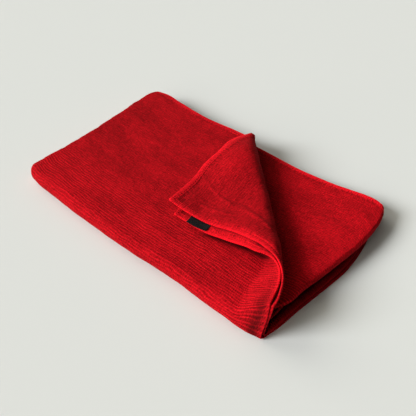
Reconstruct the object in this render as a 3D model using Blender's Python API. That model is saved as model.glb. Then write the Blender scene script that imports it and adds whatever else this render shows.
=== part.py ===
"""A gauze scarf, folded to eight plies and lying flat, with the corner of its two top plies turned back.

The cloth is folded in half across its length twice, which leaves both end hems at the right end and
two rounded folds, one inside the other, at the left. That pile of four plies is then folded in half
along its length, so the front is one round fold and the back shows eight hemmed edges. Counted from
the top the plies are the outer, second, third and fourth one, then the same four again in reverse.

X runs along the length, Y from the front fold to the long hems at the back, Z up. The origin is at
the middle of the underside.
"""

import bmesh
import bpy
import numpy as np

# Driving sizes, metres
LENGTH = 0.395  # from the left folds to the end hems
DEPTH = 0.244  # from the front fold to the long hems
WALL = 0.0016  # one ply of crinkled gauze
PITCH = 0.0030  # from the middle of one ply to the next
GAP = 0.0003  # left between solids that touch
LABEL_LENGTH = 0.032
LABEL_WIDTH = 0.0165
LABEL_WALL = 0.0006
LABEL_FROM_TIP = 0.0195  # from the turned tip, along the end hem
LABEL_OVERHANG = 0.0045  # past the hem
LABEL_LIFT = 0.0005  # off the cloth, which is a little faceted
LIP_RADIUS = 0.0017  # of the fold at the right end, before it is raised
LIP_DEPTH = 0.0032  # of the same fold, along the length
LIP_RAISED = 0.0060  # how much higher it stands where no corner presses on it
HEM_GROOVE = 0.0012  # between one hem and the next, at the back
HEM_FACE = 0.6  # of a ply's height, the upright part of its hem in a shared block
HEM_STEP = 0.0012  # how much less far back the second ply's hem lies than the outer one's
HIDDEN_FROM = 0.150  # left of this, the inner plies are one solid
INNER_FOLD_FROM = 0.0480  # where that solid starts, at the inner of the two left folds
MIDDLE = (0.2053, 0.1178)  # of the outline, seen from above

# Height of each ply's middle above the mid-plane of the pile
LEVEL = {"outer": 3.5 * PITCH, "second": 2.5 * PITCH, "third": 1.5 * PITCH}
MID_HEIGHT = LEVEL["outer"] + WALL / 2
BEND = LEVEL["outer"] + WALL / 2  # outer radius of the front fold

# Where the end hems lie, by distance from the front fold, as top and under stretches show them
END_COLUMNS = ("from_front", "outer_top", "second_top", "outer_under", "second_under")
END_HEMS = (
    (0.000, 0.4060, 0.4080, 0.4020, 0.4010),
    (0.025, 0.3980, 0.4150, 0.4035, 0.4020),
    (0.055, 0.3908, 0.4047, 0.4060, 0.4035),
    (0.080, 0.3866, 0.3902, 0.4090, 0.4065),
    (0.105, 0.3856, 0.3840, 0.4119, 0.4088),
    (0.135, 0.3811, 0.3777, 0.4147, 0.4112),
    (0.190, 0.3823, 0.3768, 0.4092, 0.4068),
    (0.244, 0.3781, 0.3723, 0.3930, 0.3920),
)

END_FADES_FROM = 0.270  # left of this the end hems' shape has no effect on the plies

# The long sides: the front of the front fold, and how far back the hems of the plies lie
SIDE_COLUMNS = ("along", "front", "upper_hems", "lower_hems")
SIDES = (
    (0.000, -0.0060, 0.2390, 0.2400),
    (0.015, -0.0085, 0.2430, 0.2430),
    (0.060, -0.0105, 0.2405, 0.2405),
    (0.110, -0.0120, 0.2375, 0.2380),
    (0.160, -0.0125, 0.2420, 0.2385),
    (0.220, -0.0115, 0.2445, 0.2385),
    (0.285, -0.0085, 0.2445, 0.2385),
    (0.325, -0.0060, 0.2445, 0.2430),
    (0.350, -0.0050, 0.2445, 0.2462),
    (0.370, -0.0050, 0.2445, 0.2480),
    (0.390, -0.0045, 0.2445, 0.2468),
    (0.402, -0.0025, 0.2445, 0.2415),
    (0.412, -0.0005, 0.2445, 0.2330),
)

# The fold that joins the third and fourth plies at the right end: its outermost line above and below
LIP_COLUMNS = ("from_front", "upper", "lower")
LIPS = (
    (0.000, 0.3790, 0.391),
    (0.020, 0.3820, 0.393),
    (0.045, 0.3965, 0.393),
    (0.073, 0.4000, 0.389),
    (0.101, 0.4045, 0.388),
    (0.136, 0.4085, 0.388),
    (0.175, 0.4120, 0.390),
    (0.215, 0.4115, 0.393),
    (0.230, 0.4095, 0.394),
    (0.239, 0.4060, 0.394),
    (0.247, 0.3995, 0.393),
)
LIP_FADES_FROM = 0.250  # left of this the fold's shape has no effect on the plies

# The left folds run in a slight S, and both their corners are rounded off
LEFT_WAVE = 0.0036
LEFT_WAVE_SPAN = 0.170  # from the front to where the S crosses over
LEFT_WAVE_REACH = 0.150  # where it has faded out, along the length
CORNER_COLUMNS = ("set_in_above", "set_in_below", "rounded_from", "rounded_over")
FRONT_CORNER = dict(zip(CORNER_COLUMNS, (0.010, 0.018, 0.012, -0.022)))
BACK_CORNER = dict(zip(CORNER_COLUMNS, (0.009, 0.009, 0.222, 0.020)))
CORNER_REACH = 0.060

# The turned corner rolls over a line that runs from the back edge to the front fold. Each row is a
# section across the roll, for the second ply: how far along the line it is, where the cloth lifts,
# which way the section points (degrees from X), then bend radius, ramp angle, ramp length and curl.
ROLL_ANGLE = 46.0
ROLL_COLUMNS = ("along", "lifts_at", "heading", "bend", "ramp_angle", "ramp", "curl")
ROLL = (
    (-0.060, 0.3055, 43.6, 0.0118, 59.0, 0.000, 0.0096),
    (-0.030, 0.2986, 40.2, 0.0110, 64.5, 0.000, 0.0096),
    (0.020, 0.2949, 41.0, 0.0120, 60.0, 0.000, 0.0160),
    (0.100, 0.2965, 47.5, 0.0128, 60.0, 0.000, 0.0120),
    (0.160, 0.2950, 46.0, 0.0130, 58.0, 0.002, 0.0130),
    (0.190, 0.2905, 44.0, 0.0140, 50.0, 0.006, 0.0125),
    (0.210, 0.2830, 33.0, 0.0152, 42.0, 0.012, 0.0108),
    (0.230, 0.2665, 13.0, 0.0156, 34.0, 0.032, 0.0110),
    (0.250, 0.2550, -5.0, 0.0140, 38.0, 0.044, 0.0112),
    (0.280, 0.2420, 1.0, 0.0125, 46.0, 0.046, 0.0112),
)
SETTLES_OVER = 0.075  # from the roll to where the turned corner lies on the ply below
RISES_BEYOND = (0.300, 0.350)  # square to the roll, where the bared third ply starts and stops rising
RISES_ALONG = (0.320, 0.402)  # and likewise along the length

# Gauze pulls out of square on the bias: how far the long hems of the two top plies move back
DRAWN_COLUMNS = ("along", "outer", "second")
DRAWN_BACK = (
    (0.175, 0.0000, 0.0000),
    (0.205, -0.0002, -0.0002),
    (0.235, 0.0064, 0.0064),
    (0.270, 0.0060, 0.0100),
    (0.310, 0.0063, 0.0146),
    (0.350, -0.0004, 0.0136),
    (0.395, -0.0086, 0.0185),
)
LIFTS_FROM = 0.15  # on the front fold's half round, the place up to which the roll lifts it
ROLL_MARGIN = 0.007  # on both sides of the bent cloth, where the grid is fine too

# Near the right end the front fold is pressed sharp: it runs along the floor, then up in one slope
PINCH_FROM, PINCH_TO = 0.346, 0.380
PINCH_SHARE = 0.85
PINCH_FLOOR = 0.34  # of the half round, the part that lies on the floor
NOSE_SETBACK = 1.6  # of the inner plies' nose, per distance inside the outer ply
SLOPE_SETBACK = 0.62  # of the inner plies' slope, likewise
PINCHED_BACK = 0.0055  # how far that sets back the lower plies, which stay round
PINCHED_BACK_FROM = 0.296

TOP_PLACES = np.linspace(0.162, LENGTH, 20)
LOW_PLACES = np.array([HIDDEN_FROM + GAP, 0.220, 0.290, 0.340, 0.352, 0.364, 0.375, 0.385])

RED = (0.52, 0.006, 0.012, 1.0)
BLACK = (0.012, 0.012, 0.013, 1.0)


def smooth_step(value, low, high):
    part = np.clip((np.asarray(value, float) - low) / (high - low), 0.0, 1.0)
    return part * part * (3.0 - 2.0 * part)


def read_table(rows, columns, name, at):
    """A column of a table at any place, on a smooth curve through its rows."""
    stations = np.array([row[0] for row in rows])
    values = np.array([row[columns.index(name)] for row in rows])
    slopes = np.gradient(values, stations)
    at = np.clip(at, stations[0], stations[-1])
    first = np.clip(np.searchsorted(stations, at) - 1, 0, len(stations) - 2)
    step = stations[first + 1] - stations[first]
    part = (at - stations[first]) / step
    rise = smooth_step(part, 0.0, 1.0)
    start = part * (1.0 - part) ** 2 * step * slopes[first]
    end = part**2 * (part - 1.0) * step * slopes[first + 1]
    return values[first] * (1.0 - rise) + values[first + 1] * rise + start + end


def front_edge(x):
    return read_table(SIDES, SIDE_COLUMNS, "front", x)


def back_edge(x, ply):
    """The long hems, which fan out a little from ply to ply."""
    if ply in ("outer", "second"):
        return read_table(SIDES, SIDE_COLUMNS, "upper_hems", x) - (HEM_STEP if ply == "second" else 0.0)
    return read_table(SIDES, SIDE_COLUMNS, "lower_hems", x)


def corner_shift(corner, y, turn):
    """How far a corner of the left folds is set in, which grows with the square of the way into it."""
    above, below = corner["set_in_above"], corner["set_in_below"]
    most = below + (above - below) * smooth_step(turn, 0.0, 1.0)
    return most * np.clip((y - corner["rounded_from"]) / corner["rounded_over"], 0.0, 1.0) ** 2


def left_shift(x, y, turn):
    """How far the left folds' S and corners move a point along the length."""
    wave = LEFT_WAVE * np.sin(np.pi * y / LEFT_WAVE_SPAN)
    corners = corner_shift(FRONT_CORNER, y, turn) + corner_shift(BACK_CORNER, y, turn)
    wave_share = 1.0 - smooth_step(x, 0.0, LEFT_WAVE_REACH)
    return wave * wave_share + corners * (1.0 - smooth_step(x, 0.0, CORNER_REACH))


def across(ply, level, x, turn):
    """Depth and height of a ply before its corner is turned. Turn is -1 at the under long hem, 0 and 1
    at the ends of the front fold's half round, and 2 at the top long hem."""
    bend_line = front_edge(x) + BEND
    pinch = smooth_step(x, PINCH_FROM, PINCH_TO) * PINCH_SHARE
    if ply == "third":
        bend_line = bend_line + PINCHED_BACK * smooth_step(x, PINCHED_BACK_FROM, PINCH_TO)
        pinch = 0.0
    hem = back_edge(x, ply)
    inward = LEVEL["outer"] - level
    bend = np.clip(turn, 0.0, 1.0)
    angle = (bend - 0.5) * np.pi
    round_y = bend_line - level * np.cos(angle)
    round_z = level * np.sin(angle)
    nose = bend_line - LEVEL["outer"] + NOSE_SETBACK * inward
    slope_end = bend_line + SLOPE_SETBACK * inward
    forward = np.clip(bend / PINCH_FLOOR, 0.0, 1.0)
    upward = np.clip((bend - PINCH_FLOOR) / (1.0 - PINCH_FLOOR), 0.0, 1.0)
    sharp_y = bend_line + (nose - bend_line) * forward + (slope_end - nose) * upward
    sharp_z = -level + 2.0 * level * upward
    bend_y = round_y + (sharp_y - round_y) * pinch
    bend_z = round_z + (sharp_z - round_z) * pinch
    top_start = bend_line + (slope_end - bend_line) * pinch
    y = np.where(turn > 1.0, top_start + (turn - 1.0) * (hem - top_start), bend_y)
    y = np.where(turn < 0.0, bend_line - turn * (hem - bend_line), y)
    z = np.where(turn > 1.0, level, np.where(turn < 0.0, -level, bend_z))
    return y, MID_HEIGHT + z


def roll_section(along):
    """The roll's section at places along its line, as arrays."""
    section = {name: read_table(ROLL, ROLL_COLUMNS, name, along) for name in ROLL_COLUMNS[1:]}
    turn = np.radians(ROLL_ANGLE)
    section["x"] = section["lifts_at"] * np.cos(turn) + along * np.sin(turn)
    section["y"] = section["lifts_at"] * np.sin(turn) - along * np.cos(turn)
    section["dx"] = np.cos(np.radians(section["heading"]))
    section["dy"] = np.sin(np.radians(section["heading"]))
    return section


def turn_corner(x, y, level):
    """Where a point of the flat top goes when the corner is rolled over and laid back."""
    low = np.full(x.shape, ROLL[0][0])
    high = np.full(x.shape, ROLL[-1][0])
    for _ in range(40):
        middle = (low + high) / 2.0
        section = roll_section(middle)
        beyond = (x - section["x"]) * section["dy"] > (y - section["y"]) * section["dx"]
        low = np.where(beyond, middle, low)
        high = np.where(beyond, high, middle)
    section = roll_section((low + high) / 2.0)
    reach = (x - section["x"]) * section["dx"] + (y - section["y"]) * section["dy"]
    inside = level - LEVEL["second"]
    bend = section["bend"] - inside
    curl = section["curl"] - inside
    angle = np.radians(section["ramp_angle"])
    ramp_from = bend * angle
    curl_from = ramp_from + section["ramp"]
    curl_to = curl_from + curl * (np.pi - angle)
    on_bend = np.clip(reach, 0.0, ramp_from)
    on_ramp = np.clip(reach - ramp_from, 0.0, section["ramp"])
    on_curl = np.clip(reach - curl_from, 0.0, curl_to - curl_from)
    over = np.clip(reach - curl_to, 0.0, None)
    out = np.minimum(reach, 0.0) + bend * np.sin(on_bend / bend) + on_ramp * np.cos(angle)
    out += curl * (np.sin(angle + on_curl / curl) - np.sin(angle)) - over
    rise = bend * (1.0 - np.cos(on_bend / bend)) + on_ramp * np.sin(angle)
    rise += curl * (np.cos(angle) - np.cos(angle + on_curl / curl))
    height = MID_HEIGHT + level + rise
    settled = MID_HEIGHT + LEVEL["outer"] + 2.0 * PITCH - inside
    height += (settled - height) * smooth_step(over, 0.0, SETTLES_OVER)
    still = reach <= 0.0
    x_out = np.where(still, x, section["x"] + out * section["dx"])
    y_out = np.where(still, y, section["y"] + out * section["dy"])
    bent = (reach > -ROLL_MARGIN) & (over < ROLL_MARGIN)
    return x_out, y_out, np.where(still, MID_HEIGHT + level, height), bent


def laid_flat(ply, x, turn, y):
    """Where a point of a top ply lies before its corner is turned: its X and Y on the flat pile."""
    from_front = np.clip(y, 0.0, None)
    top_end = read_table(END_HEMS, END_COLUMNS, ply + "_top", from_front)
    under_end = read_table(END_HEMS, END_COLUMNS, ply + "_under", from_front)
    end = under_end + (top_end - under_end) * smooth_step(turn, 0.3, 1.0)
    flat_x = x + (end - LENGTH) * smooth_step(x, END_FADES_FROM, LENGTH)
    drawn = read_table(DRAWN_BACK, DRAWN_COLUMNS, ply, x) * np.clip(y / DEPTH, 0.0, 1.0) ** 2
    return flat_x, y + drawn * smooth_step(turn, 0.5, 1.0)


def top_ply_point(ply, level, x, turn):
    """A point of the outer or second ply, whose top right corner is turned back."""
    y, z = across(ply, level, x, turn)
    flat_x, flat_y = laid_flat(ply, x, turn, y)
    folded_x, folded_y, folded_z, _ = turn_corner(flat_x, flat_y, level)
    lifted = smooth_step(turn, LIFTS_FROM, 1.05)
    x_out = flat_x + (folded_x - flat_x) * lifted + left_shift(x, y, turn)
    y_out = flat_y + (folded_y - flat_y) * lifted
    z_out = z + (folded_z - MID_HEIGHT - level) * lifted
    return np.stack([x_out, y_out, z_out], -1)


def rolled(ply, x, turn):
    """Whether a point of a top ply is on the roll, where the cloth bends most."""
    y, _ = across(ply, LEVEL[ply], x, turn)
    flat_x, flat_y = laid_flat(ply, x, turn, y)
    return (turn > 0.6) & turn_corner(flat_x, flat_y, LEVEL[ply])[3]


def third_ply_point(level, x, turn):
    """A point of the third ply, which lies flat and ends in the fold to the fourth."""
    from_front = np.clip(across("third", level, x, turn)[0], 0.0, None)
    upper = read_table(LIPS, LIP_COLUMNS, "upper", from_front)
    lower = read_table(LIPS, LIP_COLUMNS, "lower", from_front)
    end = lower + (upper - lower) * smooth_step(turn, 0.0, 1.1)
    reached = x + (end - LENGTH) * smooth_step(x, LIP_FADES_FROM, LENGTH)
    y, z = across("third", level, reached, turn)
    roll = np.radians(ROLL_ANGLE)
    beyond_roll = reached * np.cos(roll) + y * np.sin(roll)
    above = np.clip((level - LEVEL["third"]) / (2.0 * LIP_RADIUS) + 1.0, 0.0, 1.0)
    rise = LIP_RAISED * above * smooth_step(beyond_roll, *RISES_BEYOND) * smooth_step(reached, *RISES_ALONG)
    return np.stack([reached, y, z + rise * smooth_step(turn, 0.0, 1.0)], -1)


def new_material(name, colour, roughness):
    material = bpy.data.materials.new(name)
    material.use_nodes = True
    shader = material.node_tree.nodes["Principled BSDF"]
    shader.inputs["Base Color"].default_value = colour
    shader.inputs["Roughness"].default_value = roughness
    shader.inputs["Metallic"].default_value = 0.0
    return material


def finish_object(name, mesh_builder, material, wall=None):
    mesh = bpy.data.meshes.new(name)
    bmesh.ops.recalc_face_normals(mesh_builder, faces=mesh_builder.faces)
    mesh_builder.to_mesh(mesh)
    mesh_builder.free()
    mesh.materials.append(material)
    mesh.shade_smooth()
    piece = bpy.data.objects.new(name, mesh)
    bpy.context.scene.collection.objects.link(piece)
    if wall:
        solidify = piece.modifiers.new("Wall", "SOLIDIFY")
        solidify.thickness = wall
        solidify.offset = 0.0
        solidify.use_even_offset = True
    return piece


def grid_places(sheet, columns, rows):
    """The column and row value of each point of a grid, read between stations where it was subdivided."""
    flat = np.array([vertex.co for vertex in sheet.verts])
    column = (flat[:, 0] + 0.5) * (len(columns) - 1)
    row = (flat[:, 1] + 0.5) * (len(rows) - 1)
    x = np.interp(column, np.arange(len(columns)), columns[:, 0])
    level = np.interp(column, np.arange(len(columns)), columns[:, 1])
    return x, level, np.interp(row, np.arange(len(rows)), rows)


def sheet_grid(columns, rows, point, fine=None):
    """A grid of cloth: point(x, level, turn) places each crossing. Faces whose points are all fine are
    subdivided first."""
    sheet = bmesh.new()
    bmesh.ops.create_grid(sheet, x_segments=len(columns) - 1, y_segments=len(rows) - 1, size=0.5)
    if fine:
        x, _, turn = grid_places(sheet, columns, rows)
        picked = {vertex for vertex, inside in zip(sheet.verts, fine(x, turn)) if inside}
        edges = [edge for edge in sheet.edges if picked.issuperset(edge.verts)]
        bmesh.ops.subdivide_edges(sheet, edges=edges, cuts=1, use_grid_fill=True)
    placed = point(*grid_places(sheet, columns, rows)) - np.array([MIDDLE[0], MIDDLE[1], 0.0])
    for vertex, place in zip(sheet.verts, placed):
        vertex.co = place
    return sheet


def turns(under, bend, top):
    """Row places: steps along the underside, round the front fold, and along the top."""
    underside = np.linspace(-1.0, 0.0, under, endpoint=False)
    front = np.linspace(0.0, 1.0, bend, endpoint=False)
    return np.concatenate([underside, front, np.linspace(1.0, 2.0, top + 1)])


def left_fold(steps):
    """Columns of the outer ply where it rounds the left end: distance along, then level."""
    radius = 1.5 * PITCH
    angle = np.radians(np.linspace(-75.0, 90.0, steps, endpoint=False))
    x = radius * (1.0 - np.cos(angle)) + WALL / 2
    return np.stack([x, 2.0 * PITCH + radius * np.sin(angle)], -1)


def right_fold(steps):
    """Columns of the third ply where it turns down into the fourth at the right end."""
    radius = LIP_RADIUS
    angle = np.radians(np.linspace(90.0, -90.0, steps))
    x = LENGTH - LIP_DEPTH * (1.0 - np.cos(angle)) - WALL / 2
    return np.stack([x, LEVEL["third"] - radius + radius * np.sin(angle)], -1)


def flat_columns(places, level):
    return np.stack([places, np.full(len(places), level)], -1)


def build_outer_ply(material):
    places = np.concatenate([[0.008, 0.034, 0.060, 0.110], TOP_PLACES])
    columns = np.concatenate([left_fold(5), flat_columns(places, LEVEL["outer"])])
    sheet = sheet_grid(
        columns,
        turns(3, 6, 19),
        lambda x, level, turn: top_ply_point("outer", level, x, turn),
        lambda x, turn: rolled("outer", x, turn),
    )
    return finish_object("outer_ply", sheet, material, WALL)


def build_second_ply(material):
    sheet = sheet_grid(
        flat_columns(np.concatenate([[HIDDEN_FROM + GAP], TOP_PLACES]), LEVEL["second"]),
        turns(4, 6, 19),
        lambda x, level, turn: top_ply_point("second", level, x, turn),
        lambda x, turn: rolled("second", x, turn),
    )
    return finish_object("second_ply", sheet, material, WALL)


def build_third_ply(material):
    under = np.array([-1.0, -0.67, -0.33, -0.1])
    front = np.linspace(0.0, 1.0, 6, endpoint=False)
    top = np.array([1.0, 1.03, 1.06, 1.1, 1.15, 1.21, 1.33, 1.55, 1.80, 1.93, 1.975, 2.0])
    sheet = sheet_grid(
        np.concatenate([flat_columns(LOW_PLACES, LEVEL["third"]), right_fold(5)]),
        np.concatenate([under, front, top]),
        lambda x, level, turn: third_ply_point(level, x, turn),
    )
    return finish_object("third_ply", sheet, material, WALL)


def build_block(name, x_places, levels, layers, ply, material):
    """Plies that are hidden but for their hems share a block: rounded at the front fold, with one
    rounded edge per ply at the back."""
    pitch = 2.0 / layers
    middles = 1.0 - pitch * (np.arange(layers) + 0.5)
    steps = pitch * np.array([HEM_FACE / 2.0, -HEM_FACE / 2.0, -0.5])
    heights = np.add.outer(middles, steps).ravel()
    insets = np.tile([0.0, 0.0, HEM_GROOVE], layers)
    heights[-1] = -1.0
    rows = np.concatenate([turns(2, 6, 2), 2.0 + np.arange(1, len(heights) + 1)])

    def point(x, level, row):
        y, z = across(ply, level, x, np.minimum(row, 2.0))
        at_back = np.maximum(row - 2.0, 0.0)
        inset = np.interp(at_back, np.arange(len(heights) + 1), np.append(HEM_GROOVE, insets))
        height = np.interp(at_back, np.arange(len(heights) + 1), np.append(1.0, heights))
        y = y - np.where((row >= 2.0) | (row <= -1.0), inset, 0.0)
        return np.stack([x, y, np.where(row > 2.0, MID_HEIGHT + level * height, z)], -1)

    block = sheet_grid(np.stack([x_places, levels], -1), rows, point)
    bmesh.ops.remove_doubles(block, verts=block.verts, dist=1e-6)
    bmesh.ops.holes_fill(block, edges=[edge for edge in block.edges if edge.is_boundary])
    return finish_object(name, block, material)


def build_label(material):
    """The woven label is stitched along the end hem, on the side that the turned corner shows."""
    level = LEVEL["outer"] - WALL / 2 - LABEL_LIFT - LABEL_WALL / 2
    across_hem = LENGTH + LABEL_OVERHANG - np.linspace(LABEL_WIDTH, 0.0, 4)
    tip_turn = 2.0 - LABEL_FROM_TIP / DEPTH
    along_hem = np.linspace(tip_turn - LABEL_LENGTH / DEPTH, tip_turn, 7)
    sheet = sheet_grid(
        flat_columns(across_hem, level),
        along_hem,
        lambda x, level, turn: top_ply_point("outer", level, x, turn),
    )
    return finish_object("label", sheet, material, LABEL_WALL)


def main():
    for leftover in list(bpy.data.objects):
        bpy.data.objects.remove(leftover)
    gauze = new_material("red_gauze", RED, 0.85)
    satin = new_material("black_satin", BLACK, 0.45)
    build_outer_ply(gauze)
    build_second_ply(gauze)
    build_third_ply(gauze)
    rounding = np.array([[0.0, 0.55], [0.0010, 0.85], [0.0040, 1.0], [0.0120, 1.0], [0.0620, 1.0]])
    rounding = np.vstack([rounding, [HIDDEN_FROM - INNER_FOLD_FROM, 1.0]])
    places = INNER_FOLD_FROM + rounding[:, 0]
    inside = LEVEL["outer"] - WALL / 2 - 1.5 * GAP
    build_block("hidden_layers", places, inside * rounding[:, 1], 6, "second", gauze)
    places = LOW_PLACES[:-1]
    inside = LEVEL["third"] - WALL / 2 - 1.5 * GAP
    build_block("fourth_ply", places, np.full(len(places), inside), 2, "third", gauze)
    build_label(satin)


main()
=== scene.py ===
"""Looks of the folded gauze scarf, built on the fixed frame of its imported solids.

X runs along the length, Y from the front fold to the long hems at the back, Z up, in metres.
"""

import bmesh
import bpy
import numpy as np
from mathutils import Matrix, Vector


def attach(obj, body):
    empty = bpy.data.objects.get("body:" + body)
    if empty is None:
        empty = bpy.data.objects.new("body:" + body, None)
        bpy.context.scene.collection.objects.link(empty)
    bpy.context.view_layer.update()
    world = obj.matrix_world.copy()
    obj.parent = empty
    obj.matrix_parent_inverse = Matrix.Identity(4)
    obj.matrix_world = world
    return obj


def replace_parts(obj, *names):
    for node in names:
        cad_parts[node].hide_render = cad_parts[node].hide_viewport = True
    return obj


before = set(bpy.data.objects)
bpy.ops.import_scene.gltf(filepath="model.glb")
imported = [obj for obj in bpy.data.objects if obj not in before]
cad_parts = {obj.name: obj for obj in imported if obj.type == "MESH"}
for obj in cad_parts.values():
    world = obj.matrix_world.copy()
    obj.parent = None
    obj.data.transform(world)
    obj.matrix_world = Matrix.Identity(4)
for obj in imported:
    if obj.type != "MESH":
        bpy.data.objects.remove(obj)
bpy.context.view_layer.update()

# Driving sizes, metres
LENGTH = 0.395  # from the left folds to the end hems
DEPTH = 0.244  # from the front fold to the long hems
WALL = 0.0016  # one ply of the solids
PITCH = 0.0030  # from the middle of one ply to the next
GAP = 0.0003  # left between solids that touch
LABEL_LENGTH = 0.032
LABEL_WIDTH = 0.0165
LABEL_FROM_TIP = 0.0195  # from the turned tip, along the end hem
LABEL_OVERHANG = 0.0045  # past the hem
LIP_RADIUS = 0.0017  # of the fold at the right end, before it is raised
LIP_DEPTH = 0.0032  # of the same fold, along the length
LIP_RAISED = 0.0060  # how much higher it stands where no corner presses on it
HEM_GROOVE = 0.0012  # between one hem and the next, at the back
HEM_STEP = 0.0012  # how much less far back the second ply's hem lies than the outer one's
HIDDEN_FROM = 0.150  # left of this, the inner plies are one solid
FOURTH_TO = 0.375  # right end of the block that stands for the fourth pair of plies
MIDDLE = (0.2053, 0.1178)  # of the outline, seen from above

# Height of each ply's middle above the mid-plane of the pile
LEVEL = {"outer": 3.5 * PITCH, "second": 2.5 * PITCH, "third": 1.5 * PITCH}
MID_HEIGHT = LEVEL["outer"] + WALL / 2
BEND = LEVEL["outer"] + WALL / 2  # outer radius of the front fold

# Where the end hems lie, by distance from the front fold, as top and under stretches show them
END_COLUMNS = ("from_front", "outer_top", "second_top", "outer_under", "second_under")
END_HEMS = (
    (0.000, 0.4110, 0.4110, 0.3990, 0.3995),
    (0.025, 0.4000, 0.4135, 0.4035, 0.4020),
    (0.055, 0.3893, 0.3980, 0.4060, 0.4035),
    (0.080, 0.3825, 0.3868, 0.4090, 0.4065),
    (0.105, 0.3862, 0.3838, 0.4119, 0.4088),
    (0.135, 0.3832, 0.3792, 0.4147, 0.4112),
    (0.190, 0.3830, 0.3772, 0.4092, 0.4068),
    (0.244, 0.3781, 0.3723, 0.3930, 0.3920),
)

END_FADES_FROM = 0.270  # left of this the end hems' shape has no effect on the plies

# The long sides: the front of the front fold, and how far back the hems of the plies lie
SIDE_COLUMNS = ("along", "front", "upper_hems", "lower_hems")
SIDES = (
    (0.000, -0.0060, 0.2390, 0.2400),
    (0.015, -0.0085, 0.2430, 0.2430),
    (0.060, -0.0105, 0.2405, 0.2405),
    (0.110, -0.0120, 0.2375, 0.2380),
    (0.160, -0.0125, 0.2420, 0.2385),
    (0.220, -0.0115, 0.2445, 0.2385),
    (0.285, -0.0085, 0.2445, 0.2385),
    (0.325, -0.0100, 0.2445, 0.2430),
    (0.350, -0.0100, 0.2445, 0.2462),
    (0.370, -0.0075, 0.2445, 0.2480),
    (0.390, -0.0045, 0.2445, 0.2468),
    (0.402, -0.0025, 0.2445, 0.2415),
    (0.412, -0.0005, 0.2445, 0.2330),
)

# The fold that joins the third and fourth plies at the right end: its outermost line above and below
LIP_COLUMNS = ("from_front", "upper", "lower")
LIPS = (
    (0.000, 0.3790, 0.391),
    (0.020, 0.3820, 0.393),
    (0.045, 0.3965, 0.393),
    (0.073, 0.4000, 0.389),
    (0.101, 0.4045, 0.388),
    (0.136, 0.4085, 0.388),
    (0.175, 0.4120, 0.390),
    (0.215, 0.4115, 0.393),
    (0.230, 0.4095, 0.394),
    (0.239, 0.4060, 0.394),
    (0.247, 0.3995, 0.393),
)
LIP_FADES_FROM = 0.250  # left of this the fold's shape has no effect on the plies

# The left folds run in a slight S, and both their corners are rounded off
LEFT_WAVE = 0.0036
LEFT_WAVE_SPAN = 0.170  # from the front to where the S crosses over
LEFT_WAVE_REACH = 0.150  # where it has faded out, along the length
CORNER_COLUMNS = ("set_in_above", "set_in_below", "rounded_from", "rounded_over")
FRONT_CORNER = dict(zip(CORNER_COLUMNS, (0.010, 0.018, 0.012, -0.022)))
BACK_CORNER = dict(zip(CORNER_COLUMNS, (0.009, 0.009, 0.222, 0.020)))
CORNER_REACH = 0.060

# The turned corner rolls over a line that runs from the back edge to the front fold. Each row is a
# section across the roll, for the second ply: how far along the line it is, where the cloth lifts,
# which way the section points (degrees from X), then bend radius, ramp angle, ramp length and curl.
ROLL_ANGLE = 46.0
ROLL_COLUMNS = ("along", "lifts_at", "heading", "bend", "ramp_angle", "ramp", "curl")
ROLL = (
    (-0.060, 0.3020, 43.6, 0.0118, 59.0, 0.0081, 0.0050),
    (-0.030, 0.2951, 40.2, 0.0110, 64.5, 0.0081, 0.0050),
    (0.020, 0.2949, 41.0, 0.0120, 60.0, 0.000, 0.0160),
    (0.100, 0.2965, 47.5, 0.0128, 60.0, 0.000, 0.0120),
    (0.160, 0.2950, 46.0, 0.0130, 58.0, 0.002, 0.0130),
    (0.190, 0.2905, 44.0, 0.0140, 50.0, 0.006, 0.0125),
    (0.210, 0.2830, 33.0, 0.0152, 42.0, 0.012, 0.0108),
    (0.230, 0.2665, 13.0, 0.0156, 34.0, 0.032, 0.0110),
    (0.250, 0.2550, -5.0, 0.0140, 38.0, 0.044, 0.0112),
    (0.280, 0.2420, 1.0, 0.0125, 46.0, 0.046, 0.0112),
)
SETTLES_OVER = 0.075  # from the roll to where the turned corner lies on the ply below
RISES_BEYOND = (0.300, 0.350)  # square to the roll, where the bared third ply starts and stops rising
RISES_ALONG = (0.320, 0.402)  # and likewise along the length

# Gauze pulls out of square on the bias: how far the long hems of the two top plies move back
DRAWN_COLUMNS = ("along", "outer", "second")
DRAWN_BACK = (
    (0.175, 0.0000, 0.0000),
    (0.205, -0.0002, -0.0002),
    (0.235, 0.0064, 0.0064),
    (0.270, 0.0060, 0.0100),
    (0.310, 0.0063, 0.0146),
    (0.350, -0.0004, 0.0136),
    (0.395, -0.0086, 0.0185),
)
LIFTS_FROM = 0.15  # on the front fold's half round, the place up to which the roll lifts it
ROLL_MARGIN = 0.007  # on both sides of the bent cloth, where the grid is fine too

# Near the right end the front fold is pressed sharp: it runs along the floor, then up in one slope
PINCH_FROM, PINCH_TO = 0.346, 0.380
PINCH_SHARE = 0.85
PINCH_FLOOR = 0.34  # of the half round, the part that lies on the floor
NOSE_SETBACK = 1.6  # of the inner plies' nose, per distance inside the outer ply
SLOPE_SETBACK = 0.62  # of the inner plies' slope, likewise
PINCHED_BACK = 0.0055  # how far that sets back the lower plies, which stay round
PINCHED_BACK_FROM = 0.296

# The hidden block's rounded left end: places along the length, and the share of its height there
BLOCK_END = ((0.0480, 0.55), (0.0490, 0.80), (0.0505, 0.93), (0.0530, 1.00), (0.0570, 1.00))
BLOCK_EVEN_FROM = 0.060

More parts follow.
